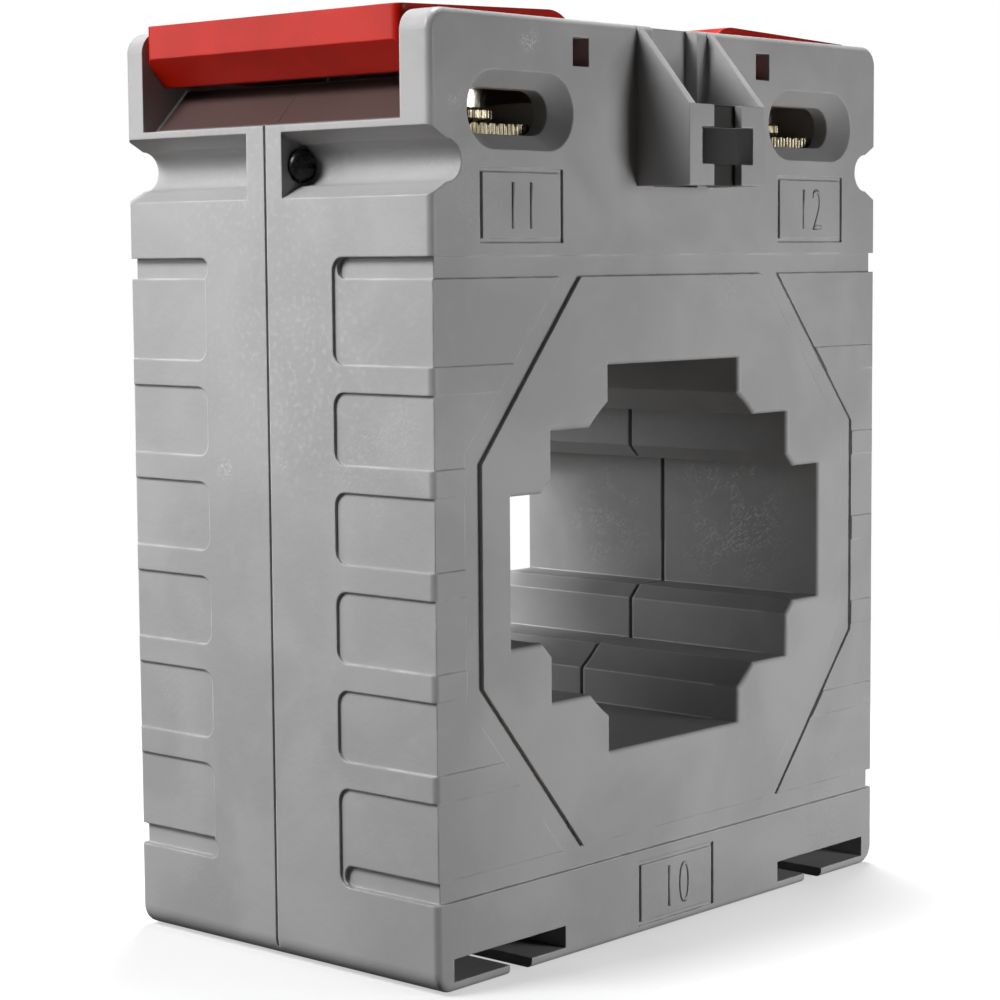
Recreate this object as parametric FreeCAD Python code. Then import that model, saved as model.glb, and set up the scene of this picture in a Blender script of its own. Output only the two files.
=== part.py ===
"""Window current transformer in a two-part moulded case, in millimetres.

X runs to the right, Y runs from the front to the rear and Z runs up. The origin is the
middle of the flat base, half-way through the depth of the case.
"""

import FreeCAD, Part
import math
import os

from FreeCAD import Vector

# Window for the primary conductor: three flat bars or one round bar
wide_bar = (60.6, 17.5)
middle_bar = (46.4, 31.8)
tall_bar = (25.5, 46.4)
round_bar = 45.4
window_chamfer = 1.7
window_edge_radius = 0.6
sleeve_wall = 1.6
sleeve_end_inset = 1.0

# Magnetic core and windings around the window
core_clearance = 0.312
core_build = 3.2
core_length = 38.0
tape_thickness = 0.35
winding_thickness = 1.05
layer_edge = 0.25
pad_thickness = 2.15
pad_radial_width = 5.0

# Space left between the winding and the case
core_side_gap = 0.85
core_bottom_gap = 0.65
core_top_gap = 1.35

# Walls of the case
side_wall = 2.3
face_wall = 2.5
base_thickness = 5.9
terminal_block_height = 21.8
corner_radius = 2.5
face_edge_radius = 0.8

# Joint between the two shells
split_from_front = 26.3
joint_groove = 0.35
lip_thickness = 0.9
lip_height = 1.8
lip_clearance = 0.1
lip_root = 0.5
sleeve_gap = 0.6
sleeve_socket = 0.2

# Shallow relief on the front and rear faces
band_height = 2.5
upper_band_drop = 29.65
lower_band = 10.35
relief_depth = 0.5
outline_width = 2.7
outline_side_margin = 6.6
outline_half_top = 19.6
outline_half_side = 13.4
face_panel_depth = 0.15

# Shallow panels on the sides
panel_height = 8.3
panel_pitch = 11.4
panel_rows = 6
panel_shift = -0.3
panel_depth = 0.35
panel_corner = 1.6
front_panel_length = 15.5
rear_panel_length = 13.8
band_slot_depth = 0.9
band_slot_short = 0.5

# Side grooves with the rib that takes the case screw
groove_drop = 16.6
groove_radius = 2.4
groove_depth = 5.0
groove_mouth = 7.6
rib_front = 2.8
rib_rear = 3.1

# Terminal chambers, one on each side of the middle bridge
side_land = 7.3
front_pocket_wall = 4.5
rear_pocket_wall = 3.2
chamber_step = 8.2
chamber_width = 15.6
chamber_depth = 14.4
hinge_floor_drop = 9.4
rim_drop = 6.8
ramp_margin = 1.8
ramp_foot_drop = 11.9
finger_sill_drop = 12.1
bridge_side_wall = 2.4
bridge_front_wall = 4.0
bridge_top_wall = 2.4

# Wire entries
entry_above_plate = 1.15
entry_outer = (18.3, 8.9)
entry_inner = (14.5, 5.2)
entry_taper_depth = 2.5

# Covers and their hinges
hinge_from_bridge = 5.55
hinge_drop = 3.75
hinge_slot_width = 2.9
hinge_slot_height = 3.3
hinge_clearance = 0.07
pin_reach = 2.0
pin_root = 0.5
cover_barrel_radius = 5.2
cover_stand = 0.6
cover_plate = 2.0
cover_lip_height = 3.9
cover_undercut = 3.0
cover_lip_depth = 7.15
cover_lip_width = 4.7
cover_inset = 0.2
cover_end_clearance = 0.3
cover_end_wall = 1.5
cover_skirt_gap = 1.0
cover_skirt_over = 1.0
cover_skirt_flare = 3.0
cover_corner = 1.2

# Terminals
plate_side_clearance = 0.7
plate_thickness = 2.4
plate_end_clearance = 0.6
plate_grooves = 9
plate_groove_depth = 0.35
plate_groove_length = 4.6
screw_from_wall = 6.2
screw_radius = 2.5
screw_length = 6.8
screw_point = 0.4
screw_well_clearance = 0.7
screw_well_depth = 4.6
thread_clearance = 0.06
head_radius = 3.9
head_height = 3.1
head_edge = 0.5
head_root = 0.5
head_slot_width = 1.1
head_slot_depth = 1.5
head_cross_radius = 2.3
head_slot_turn = 25.0
washer_radius = 4.6
washer_thickness = 1.5
washer_lift = 0.3
washer_clearance = 0.1
washer_edge = 0.3

# Leads from the winding to the plates
lead_radius = 0.8
lead_clearance = 0.3
lead_foot_offset = 14.0
lead_from_plate_middle = 4.4
lead_above_ceiling = 3.0
lead_bend = 2.2

# Case screws
case_screw_inset = 2.9
case_screw_radius = 1.4
case_screw_head_radius = 1.95
case_screw_head_height = 1.2
case_screw_head_round = 0.84
case_screw_tip = 1.0
case_screw_point = 0.6
case_screw_clearance = 0.05
case_screw_slot = 0.6
case_screw_slot_depth = 0.48

# Slots in the base for mounting feet
foot_slot_margin = 2.6
foot_slot_width = 19.4
foot_slot_sill = 1.2
foot_slot_height = 2.65
foot_gap_margin = 9.5
foot_gap_width = 3.8

# Clip bracket on the front
bracket_half_width = 7.4
bracket_reach = 7.9
bracket_root = 1.0
bracket_drop = 19.0
bracket_bar_height = 9.5
bracket_top_inset = 0.2
bracket_rib = 1.1
bracket_bar = 2.6
bracket_slot_width = 5.4
bracket_slot_depth = 1.2
bracket_window = (10.0, 4.4)
bracket_window_sill = 2.5
channel_half_width = 4.3
channel_depth = 1.8

# Engraved frames around the terminal places
frame_size = (14.3, 8.4)
frame_drop = 21.5
base_frame_size = (15.0, 8.0)
base_frame_height = 5.0
frame_line = 0.5
frame_depth = 0.3

# The winding goes round the widest corner of the window
bar_corners = [math.hypot(*bar) / 2 for bar in (wide_bar, middle_bar, tall_bar)]
winding_build = 2 * tape_thickness + winding_thickness
winding_inner_radius = max(bar_corners + [round_bar / 2]) + sleeve_wall + core_clearance
core_inner_radius = winding_inner_radius + winding_build
core_outer_radius = core_inner_radius + core_build
winding_outer_radius = core_outer_radius + winding_build

# The case goes round the winding
half_width = winding_outer_radius + core_side_gap + side_wall
case_depth = core_length + 2 * (winding_build + pad_thickness + face_wall)
cavity_bottom = base_thickness
window_height = cavity_bottom + core_bottom_gap + winding_outer_radius
cavity_top = window_height + winding_outer_radius + core_top_gap
case_height = cavity_top + terminal_block_height
front = -case_depth / 2
rear = case_depth / 2
split = front + split_from_front
cavity_front = front + face_wall
cavity_rear = rear - face_wall

# Relief and grooves on the faces
upper_band = case_height - upper_band_drop
outline_half_width = half_width - outline_side_margin
panel_middle = (lower_band + upper_band + band_height) / 2 + panel_shift
groove_height = case_height - groove_drop
frame_height = case_height - frame_drop

# Terminal chambers and what stands in them
chamber_front = front + front_pocket_wall
chamber_rear = rear - rear_pocket_wall
chamber_outer = half_width - side_land
chamber_inner = chamber_outer - chamber_width
bridge_half = chamber_inner - chamber_step
chamber_floor = case_height - chamber_depth
hinge_floor = case_height - hinge_floor_drop
chamber_rim = case_height - rim_drop
ramp_foot = half_width - ramp_margin
ramp_foot_height = case_height - ramp_foot_drop
finger_sill = case_height - finger_sill_drop
entry_offset = (chamber_inner + chamber_outer) / 2
plate_width = chamber_width - 2 * plate_side_clearance
plate_top = chamber_floor + plate_thickness
entry_height = plate_top + entry_above_plate
washer_bottom = plate_top + washer_lift
washer_top = washer_bottom + washer_thickness
lead_rise_offset = entry_offset - lead_from_plate_middle
lead_level = cavity_top + lead_above_ceiling

# Covers
hinge_offset = bridge_half + hinge_from_bridge
hinge_height = case_height - hinge_drop
cover_outer_top = case_height + cover_stand
cover_skirt_bottom = chamber_rim + cover_skirt_gap
cover_skirt_end = chamber_outer + cover_skirt_over

# Foot slots and clip bracket
foot_slot_outer = half_width - foot_slot_margin
foot_slot_inner = foot_slot_outer - foot_slot_width
foot_gap_outer = foot_slot_outer - foot_gap_margin
foot_gap_inner = foot_gap_outer - foot_gap_width
bracket_bottom = case_height - bracket_drop
bracket_bar_top = bracket_bottom + bracket_bar_height

# Reach of cutting tools: past everything, past a face, and a touch
BIG = 400.0
OVER = 2.0
TOUCH = 0.01


def box(x0, x1, y0, y1, z0, z1):
    """Block between two values on each axis."""
    return Part.makeBox(x1 - x0, y1 - y0, z1 - z0, Vector(x0, y0, z0))


def mirrored(shape):
    """The same shape on the other side of the middle plane."""
    return shape.mirror(Vector(0, 0, 0), Vector(1, 0, 0))


def both_sides(shape):
    """A right-hand shape together with its left-hand twin."""
    return [shape, mirrored(shape)]


def cylinder_y(x, z, radius, y0, y1):
    """Cylinder along the depth."""
    return Part.makeCylinder(radius, y1 - y0, Vector(x, y0, z), Vector(0, 1, 0))


def cylinder_z(x, y, radius, z0, z1):
    """Upright cylinder."""
    return Part.makeCylinder(radius, z1 - z0, Vector(x, y, z0), Vector(0, 0, 1))


def outline_face(points, y):
    """Flat face in the XZ plane through the given points."""
    corners = [Vector(x, y, z) for x, z in points]
    return Part.Face(Part.makePolygon(corners + corners[:1]))


def prism(points, y0, y1):
    """Straight-sided block with an XZ outline."""
    return outline_face(points, y0).extrude(Vector(0, y1 - y0, 0))


def edges_along(shape, axis, test):
    """Straight edges parallel to an axis whose middle passes a test."""
    found = []
    for edge in shape.Edges:
        ends = [vertex.Point for vertex in edge.Vertexes]
        if len(ends) != 2:
            continue
        run = ends[1] - ends[0]
        if run.Length < 1e-6 or abs(run.dot(axis)) < 0.9999 * run.Length:
            continue
        if test((ends[0] + ends[1]) / 2):
            found.append(edge)
    return found


def obround_wire(x, z, size, y):
    """Closed wire of a slot with round ends, seen along the depth."""
    width, height = size
    radius = height / 2
    reach = width / 2 - radius
    right_top = Vector(x + reach, y, z + radius)
    right_low = Vector(x + reach, y, z - radius)
    left_top = Vector(x - reach, y, z + radius)
    left_low = Vector(x - reach, y, z - radius)
    right = Part.Arc(right_top, Vector(x + reach + radius, y, z), right_low)
    left = Part.Arc(left_low, Vector(x - reach - radius, y, z), left_top)
    parts = [
        Part.makeLine(left_top, right_top),
        right.toShape(),
        Part.makeLine(right_low, left_low),
        left.toShape(),
    ]
    return Part.Wire(parts)


def obround(x, z, size, y0, y1):
    """Straight slot with round ends through a stretch of depth."""
    return Part.Face(obround_wire(x, z, size, y0)).extrude(Vector(0, y1 - y0, 0))


def round_path(points, bend):
    """Path through the points with a round bend at each inner one."""
    edges = []
    start = points[0]
    for before, corner, after in zip(points, points[1:], points[2:]):
        into = (corner - before).normalize()
        out = (after - corner).normalize()
        half_angle = math.acos(max(-1.0, min(1.0, into.dot(out)))) / 2
        reach = bend * math.tan(half_angle)
        enter = corner - into * reach
        leave = corner + out * reach
        inward = (out - into).normalize()
        middle = corner + inward * (bend / math.cos(half_angle) - bend)
        edges.append(Part.makeLine(start, enter))
        edges.append(Part.Arc(enter, middle, leave).toShape())
        start = leave
    edges.append(Part.makeLine(start, points[-1]))
    return Part.Wire(edges)


def tube(points, radius, bend):
    """Round rod along a bent path."""
    path = round_path(points, bend)
    normal = points[1] - points[0]
    section = Part.Wire(Part.makeCircle(radius, points[0], normal))
    return path.makePipeShell([section], True, False)


def window_wire(grow, y):
    """Closed wire of the stepped window, grown outwards by a wall."""
    half_wide = (wide_bar[0] / 2, wide_bar[1] / 2)
    half_middle = (middle_bar[0] / 2, middle_bar[1] / 2)
    half_tall = (tall_bar[0] / 2, tall_bar[1] / 2)
    radius = round_bar / 2
    arc_high = (half_tall[0], math.sqrt(radius ** 2 - half_tall[0] ** 2))
    arc_low = (math.sqrt(radius ** 2 - half_middle[1] ** 2), half_middle[1])
    angle = (math.atan2(arc_high[1], arc_high[0]) + math.atan2(arc_low[1], arc_low[0])) / 2
    arc_middle = (radius * math.cos(angle), radius * math.sin(angle))
    quarter = [
        half_wide,
        (half_middle[0] + window_chamfer, half_wide[1]),
        (half_middle[0], half_wide[1] + window_chamfer),
        half_middle,
        arc_low,
        arc_high,
        half_tall,
    ]

    def place(point, sign_x, sign_z):
        return Vector(sign_x * point[0], y, window_height + sign_z * point[1])

    edges = []
    last = None
    first = None
    for sign_x, sign_z, order in ((1, 1, 1), (-1, 1, -1), (-1, -1, 1), (1, -1, -1)):
        run = quarter[::order]
        for start, end in zip(run, run[1:]):
            here = place(start, sign_x, sign_z)
            there = place(end, sign_x, sign_z)
            if last is not None and (here - last).Length > 1e-6:
                edges.append(Part.makeLine(last, here))
            if {start, end} == {arc_low, arc_high}:
                middle = place(arc_middle, sign_x, sign_z)
                edges.append(Part.Arc(here, middle, there).toShape())
            else:
                edges.append(Part.makeLine(here, there))
            first = first or here
            last = there
    edges.append(Part.makeLine(last, first))
    wire = Part.Wire(edges)
    if grow:
        wire = wire.makeOffset2D(grow, 0)
    return wire


def window_prism(grow, y0, y1):
    """Stepped window as a solid through a stretch of depth."""
    return Part.Face(window_wire(grow, y0)).extrude(Vector(0, y1 - y0, 0))


def outer_block():
    """Closed outer form of the case with its rounded edges."""
    block = box(-half_width, half_width, front, rear, 0, case_height)
    long_edges = edges_along(block, Vector(0, 1, 0), lambda middle: True)
    block = block.makeFillet(corner_radius, long_edges)
    rims = []
    for edge in block.Edges:
        ys = [vertex.Point.y for vertex in edge.Vertexes]
        if max(ys) - min(ys) < 1e-6:
            rims.append(edge)
    return block.makeFillet(face_edge_radius, rims)


def main_cavity(grow=0.0):
    """Space for the core, between the walls and around the window sleeve."""
    space = box(
        -half_width + side_wall - grow,
        half_width - side_wall + grow,
        cavity_front,
        cavity_rear,
        cavity_bottom - grow,
        cavity_top + grow,
    )
    edges = edges_along(space, Vector(0, 1, 0), lambda middle: True)
    return space.makeFillet(corner_radius, edges)


def bridge_core():
    """Hollow inside the bridge between the terminal chambers."""
    return box(
        -bridge_half + bridge_side_wall,
        bridge_half - bridge_side_wall,
        front + bridge_front_wall,
        rear - bridge_front_wall,
        cavity_top - OVER,
        case_height - bridge_top_wall,
    )


def terminal_pocket():
    """Open space of the right-hand terminal under its cover."""
    upper = box(bridge_half, BIG, chamber_front, chamber_rear, chamber_rim, BIG)
    hinge_bay = box(bridge_half, chamber_outer, chamber_front, chamber_rear, hinge_floor, BIG)
    chamber = box(chamber_inner, chamber_outer, chamber_front, chamber_rear, chamber_floor, BIG)
    ramp_top = ramp_foot - (chamber_rim - ramp_foot_height)
    finger = prism(
        [
            (ramp_top, chamber_rim),
            (ramp_foot, ramp_foot_height),
            (half_width + OVER, finger_sill),
            (half_width + OVER, chamber_rim + OVER),
            (ramp_top, chamber_rim + OVER),
        ],
        chamber_front,
        chamber_rear,
    )
    return upper.fuse([hinge_bay, chamber, finger])


def wire_entries():
    """Tapered wire entries of one side, in the front and the rear wall."""
    cuts = []
    for face, inward, wall in ((front, 1, front_pocket_wall), (rear, -1, rear_pocket_wall)):
        throat = face + inward * entry_taper_depth
        mouth = obround_wire(entry_offset, entry_height, entry_outer, face)
        neck = obround_wire(entry_offset, entry_height, entry_inner, throat)
        cuts.append(Part.makeLoft([mouth, neck], True, True))
        reach = sorted((face, face + inward * (wall + OVER)))
        cuts.append(obround(entry_offset, entry_height, entry_inner, *reach))
    return cuts


def hinge_slots():
    """Small slots of one side that carry the hinge pins."""
    x0 = hinge_offset - hinge_slot_width / 2
    z0 = hinge_height - hinge_slot_height / 2
    x1 = x0 + hinge_slot_width
    z1 = z0 + hinge_slot_height
    return [
        box(x0, x1, front - OVER, chamber_front + OVER, z0, z1),
        box(x0, x1, chamber_rear - OVER, rear + OVER, z0, z1),
    ]


def side_groove():
    """Flared round-bottomed groove along the right side, in two runs."""
    bottom = half_width - groove_depth
    centre = bottom + groove_radius
    mouth = groove_mouth / 2
    runs = []
    for y0, y1 in ((front - OVER, split - rib_front), (split + rib_rear, rear + OVER)):
        flare = prism(
            [
                (centre, groove_height - groove_radius),
                (half_width, groove_height - mouth),
                (half_width + OVER, groove_height - mouth),
                (half_width + OVER, groove_height + mouth),
                (half_width, groove_height + mouth),
                (centre, groove_height + groove_radius),
            ],
            y0,
            y1,
        )
        runs.append(cylinder_y(centre, groove_height, groove_radius, y0, y1).fuse(flare))
    return runs


def rounded_recess(depth, y0, y1, z0, z1, round_at):
    """Shallow recess in the right side with round corners at one end."""
    shape = box(half_width - depth, half_width + OVER, y0, y1, z0, z1)
    radius = min(panel_corner, 0.45 * (z1 - z0))
    edges = edges_along(shape, Vector(1, 0, 0), lambda middle: abs(middle.y - round_at) < TOUCH)
    return shape.makeFillet(radius, edges)


def panel_rows_z():
    """Lower and upper edge of each side panel, from the base upwards."""
    rows = []
    for row in range(panel_rows):
        middle = panel_middle + (row - (panel_rows - 1) / 2) * panel_pitch
        low = middle - panel_height / 2
        high = middle + panel_height / 2
        if row == 0:
            low = lower_band
        if row == panel_rows - 1:
            high = upper_band + band_height
        rows.append((low, high))
    return rows


def side_panels():
    """Recessed panels and band slots on the right side."""
    front_end = front + front_panel_length
    rear_end = rear - rear_panel_length
    cuts = []
    for low, high in panel_rows_z():
        cuts.append(rounded_recess(panel_depth, front - OVER, front_end, low, high, front_end))
        cuts.append(rounded_recess(panel_depth, rear_end, rear + OVER, low, high, rear_end))
    for low in (lower_band, upper_band):
        high = low + band_height
        front_stop = front_end - band_slot_short
        rear_stop = rear_end - band_slot_short
        cuts.append(rounded_recess(band_slot_depth, front - OVER, front_stop, low, high, front_stop))
        cuts.append(rounded_recess(band_slot_depth, rear_stop, rear + OVER, low, high, rear_stop))
    return cuts


def outline_half(grow):
    """Right-hand half of the eight-sided outline, moved outwards by a distance."""
    top = upper_band
    bottom = lower_band + band_height
    side_top = window_height + outline_half_side
    side_bottom = window_height - outline_half_side
    slope_run = outline_half_width - outline_half_top
    slope_rise = top - side_top
    slope_length = math.hypot(slope_run, slope_rise)
    shift_top = grow * slope_length / slope_rise
    shift_side = grow * (slope_length - slope_run) / slope_rise
    return [
        (outline_half_top + shift_top, top),
        (outline_half_width + grow, side_top + shift_side),
        (outline_half_width + grow, side_bottom - shift_side),
        (outline_half_top + shift_top, bottom),
    ]


def face_relief(face, inward):
    """Bands, outline grooves and face panels of the front or rear face."""
    outside = face - inward * OVER
    floor = sorted((outside, face + inward * relief_depth))
    cuts = []
    for low in (lower_band, upper_band):
        cuts.append(box(-BIG, BIG, floor[0], floor[1], low, low + band_height))
    inner = outline_half(-outline_width / 2)
    outer = outline_half(outline_width / 2)
    cuts += both_sides(prism(inner + outer[::-1], *floor))
    panel_floor = sorted((outside, face + inward * face_panel_depth))
    margin = outline_half(outline_width / 2 - TOUCH)
    edge = [(half_width + OVER, margin[-1][1]), (half_width + OVER, margin[0][1])]
    field = prism(margin + edge, *panel_floor)
    for low, high in panel_rows_z():
        strip = box(0, BIG, -BIG, BIG, low, high)
        cuts += both_sides(field.common(strip))
    return cuts


def frame_groove(x, z, size, face, inward):
    """Thin engraved rectangle."""
    y0, y1 = sorted((face - inward * OVER, face + inward * frame_depth))
    half_x = size[0] / 2
    half_z = size[1] / 2
    whole = box(x - half_x, x + half_x, y0, y1, z - half_z, z + half_z)
    left = x - half_x + frame_line
    right = x + half_x - frame_line
    field = box(left, right, y0, y1, z - half_z + frame_line, z + half_z - frame_line)
    return whole.cut(field)


def frames(face, inward):
    """The three engraved frames of one face."""
    upper = frame_groove(entry_offset, frame_height, frame_size, face, inward)
    return both_sides(upper) + [frame_groove(0, base_frame_height, base_frame_size, face, inward)]


def foot_slots():
    """Undercut slot of the right side in the base, open along the depth."""
    head = box(
        foot_slot_inner,
        foot_slot_outer,
        front - OVER,
        rear + OVER,
        foot_slot_sill,
        foot_slot_sill + foot_slot_height,
    )
    gap = box(foot_gap_inner, foot_gap_outer, front - OVER, rear + OVER, -OVER, foot_slot_sill + TOUCH)
    return [head.fuse(gap)]


def lead_points():
    """Path of the right-hand lead, in the plane where the shells meet."""
    ring_top = winding_outer_radius - tape_thickness
    start = window_height + math.sqrt(ring_top ** 2 - lead_foot_offset ** 2)
    return [
        Vector(lead_foot_offset, split, start),
        Vector(lead_foot_offset, split, lead_level),
        Vector(lead_rise_offset, split, lead_level),
        Vector(lead_rise_offset, split, chamber_floor),
    ]


def lead_channel():
    """Round channel for the right-hand lead through the deck."""
    points = lead_points()
    points[0] = Vector(lead_foot_offset, split, cavity_top - OVER)
    points[-1] = points[-1] + Vector(0, 0, OVER)
    return tube(points, lead_radius + lead_clearance, lead_bend)


def screw_places():
    """Depth position of the front and the rear clamp screw."""
    return (chamber_front + screw_from_wall, chamber_rear - screw_from_wall)


def screw_wells():
    """Wells under the terminal plate for the ends of the clamp screws."""
    bottom = chamber_floor - screw_well_depth
    top = chamber_floor + OVER
    radius = screw_radius + screw_well_clearance
    return [cylinder_z(entry_offset, y, radius, bottom, top) for y in screw_places()]


def case_screw_axis():
    """Distance of the case screw from the middle plane."""
    return half_width - case_screw_inset


def case_screw_hole():
    """Hole for the right-hand case screw through both ribs."""
    return cylinder_y(
        case_screw_axis(),
        groove_height,
        case_screw_radius + case_screw_clearance,
        split - rib_front - OVER,
        split + rib_rear + OVER,
    )


def clip_bracket():
    """Bracket for a mounting clip, standing on the front face."""
    nose = front - bracket_reach
    rib_profile = [
        Vector(0, front + bracket_root, bracket_bottom),
        Vector(0, nose, bracket_bottom),
        Vector(0, nose, bracket_bar_top),
        Vector(0, front, case_height - bracket_top_inset),
        Vector(0, front + bracket_root, case_height - bracket_top_inset),
    ]
    rib_face = Part.Face(Part.makePolygon(rib_profile + rib_profile[:1]))
    rib_face.translate(Vector(bracket_half_width - bracket_rib, 0, 0))
    rib = rib_face.extrude(Vector(bracket_rib, 0, 0))
    bar = box(
        -bracket_half_width,
        bracket_half_width,
        nose,
        nose + bracket_bar,
        bracket_bottom,
        bracket_bar_top,
    )
    half_slot = bracket_slot_width / 2
    slot = box(-half_slot, half_slot, nose - OVER, nose + bracket_slot_depth, 0, BIG)
    half_window = bracket_window[0] / 2
    sill = bracket_bottom + bracket_window_sill
    opening = box(
        -half_window,
        half_window,
        nose - OVER,
        nose + bracket_bar + OVER,
        sill,
        sill + bracket_window[1],
    )
    return bar.cut(slot).cut(opening).fuse(both_sides(rib))


def clip_channel():
    """Upright channel in the front face behind the bracket."""
    return box(
        -channel_half_width,
        channel_half_width,
        front - OVER,
        front + channel_depth,
        bracket_bottom,
        BIG,
    )


def joint_line():
    """Fine groove round the outside where the two shells meet."""
    y0 = split - joint_groove / 2
    y1 = split + joint_groove / 2
    ring = box(-BIG, BIG, y0, y1, -BIG, BIG)
    core = box(
        -half_width + joint_groove,
        half_width - joint_groove,
        y0,
        y1,
        joint_groove,
        case_height - joint_groove,
    )
    return ring.cut(core)


def soften_window(shape):
    """Round the edges of the window at the front and the rear face."""
    edges = []
    reach_x = wide_bar[0] / 2 + TOUCH
    reach_z = tall_bar[1] / 2 + TOUCH
    for edge in shape.Edges:
        bounds = edge.BoundBox
        on_face = abs(bounds.YMin - bounds.YMax) < 1e-4
        on_face = on_face and min(abs(bounds.YMin - front), abs(bounds.YMin - rear)) < 1e-3
        inside_x = max(abs(bounds.XMin), abs(bounds.XMax)) < reach_x
        inside_z = max(abs(bounds.ZMin - window_height), abs(bounds.ZMax - window_height)) < reach_z
        if on_face and inside_x and inside_z:
            edges.append(edge)
    return shape.makeFillet(window_edge_radius, edges)


def whole_case():
    """Both shells as one piece, before they are parted."""
    sleeve = window_prism(sleeve_wall, front + sleeve_end_inset, rear - sleeve_end_inset)
    case = outer_block().cut([main_cavity(), bridge_core()])
    case = case.fuse(sleeve.cut(window_prism(0, front, rear)))
    case = case.cut(window_prism(0, front - OVER, rear + OVER))
    case = soften_window(case)
    cuts = []
    cuts += both_sides(terminal_pocket())
    for group in (wire_entries(), hinge_slots(), side_groove(), side_panels(), foot_slots(), screw_wells()):
        for cutter in group:
            cuts += both_sides(cutter)
    cuts += both_sides(case_screw_hole())
    cuts += both_sides(lead_channel())
    for face, inward in ((front, 1), (rear, -1)):
        cuts += face_relief(face, inward)
        cuts += frames(face, inward)
    cuts.append(joint_line())
    case = case.cut(cuts)
    return case.fuse(clip_bracket()).cut(clip_channel())


def shell_lip(clearance):
    """Lip of the rear shell that enters the front shell."""
    outer = main_cavity(lip_thickness + clearance)
    ring = outer.cut(main_cavity())
    height = lip_height + clearance
    return ring.common(box(-BIG, BIG, split - height, split, -BIG, cavity_top - corner_radius))


def front_shell(case):
    """Front shell, with the bracket and the rebate for the lip."""
    half = case.common(box(-BIG, BIG, -BIG, split, -BIG, BIG))
    grown = window_prism(sleeve_wall + sleeve_socket, split - sleeve_gap, split + OVER)
    return half.cut([shell_lip(lip_clearance), grown])


def rear_shell(case):
    """Rear shell, with the lip round its cavity."""
    half = case.common(box(-BIG, BIG, split, BIG, -BIG, BIG))
    root = main_cavity(lip_thickness).cut(main_cavity())
    root = root.common(box(-BIG, BIG, split, split + lip_root, -BIG, cavity_top - corner_radius))
    return half.fuse([shell_lip(0.0), root])


def ring(inner_radius, outer_radius, half_length):
    """Ring around the window, with its four edges broken."""
    outer = cylinder_y(0, window_height, outer_radius, -half_length, half_length)
    hole = cylinder_y(0, window_height, inner_radius, -half_length - OVER, half_length + OVER)
    body = outer.cut(hole)
    rims = [edge for edge in body.Edges if len(edge.Vertexes) == 1]
    return body.makeChamfer(layer_edge, rims)


def layers():
    """Radii and half length of the core and of each layer on it."""
    inner = core_inner_radius
    outer = core_outer_radius
    half = core_length / 2
    sizes = [(inner, outer, half)]
    for thickness in (tape_thickness, winding_thickness, tape_thickness):
        inner -= thickness
        outer += thickness
        half += thickness
        sizes.append((inner, outer, half))
    return sizes


def core_parts():
    """Core, its tape, the winding and the outer tape."""
    names = ("core_ring", "core_wrap", "secondary_winding", "winding_wrap")
    sizes = layers()
    parts = {names[0]: ring(*sizes[0])}
    for name, size, below in zip(names[1:], sizes[1:], sizes):
        parts[name] = ring(*size).cut(ring(*below))
    for name in names[2:]:
        parts[name] = parts[name].cut(both_sides(lead()))
    return parts


def core_pad(y0, y1):
    """Soft ring that holds the wound core against a shell."""
    inner, outer, half = layers()[-1]
    middle = (inner + outer) / 2
    outside = cylinder_y(0, window_height, middle + pad_radial_width / 2, y0, y1)
    return outside.cut(cylinder_y(0, window_height, middle - pad_radial_width / 2, y0, y1))


def lead():
    """Right-hand lead from the winding to its terminal plate."""
    return tube(lead_points(), lead_radius, lead_bend)


def terminal_plate():
    """Right-hand terminal plate with ribbed ends for the wires."""
    x0 = entry_offset - plate_width / 2
    x1 = entry_offset + plate_width / 2
    y0 = chamber_front + plate_end_clearance
    y1 = chamber_rear - plate_end_clearance
    plate = box(x0, x1, y0, y1, chamber_floor, plate_top)
    bore = screw_radius + thread_clearance
    cuts = [cylinder_z(entry_offset, y, bore, 0, BIG) for y in screw_places()]
    pitch = plate_width / plate_grooves
    for index in range(plate_grooves):
        x = x0 + (index + 0.5) * pitch
        notch = [
            Vector(x - plate_groove_depth - TOUCH, 0, plate_top + TOUCH),
            Vector(x, 0, plate_top - plate_groove_depth),
            Vector(x + plate_groove_depth + TOUCH, 0, plate_top + TOUCH),
        ]
        face = Part.Face(Part.makePolygon(notch + notch[:1]))
        for start in (y0 - TOUCH, y1 - plate_groove_length):
            cut = face.extrude(Vector(0, plate_groove_length + TOUCH, 0))
            cut.translate(Vector(0, start, 0))
            cuts.append(cut)
    return plate.cut(cuts)


def clamp_washer(y):
    """Round clamp washer under the head of a clamp screw."""
    bore = screw_radius + washer_clearance
    disc = cylinder_z(entry_offset, y, washer_radius, washer_bottom, washer_top)
    rims = [edge for edge in disc.Edges if len(edge.Vertexes) == 1]
    disc = disc.makeChamfer(washer_edge, rims)
    return disc.cut(cylinder_z(entry_offset, y, bore, 0, BIG))


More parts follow.
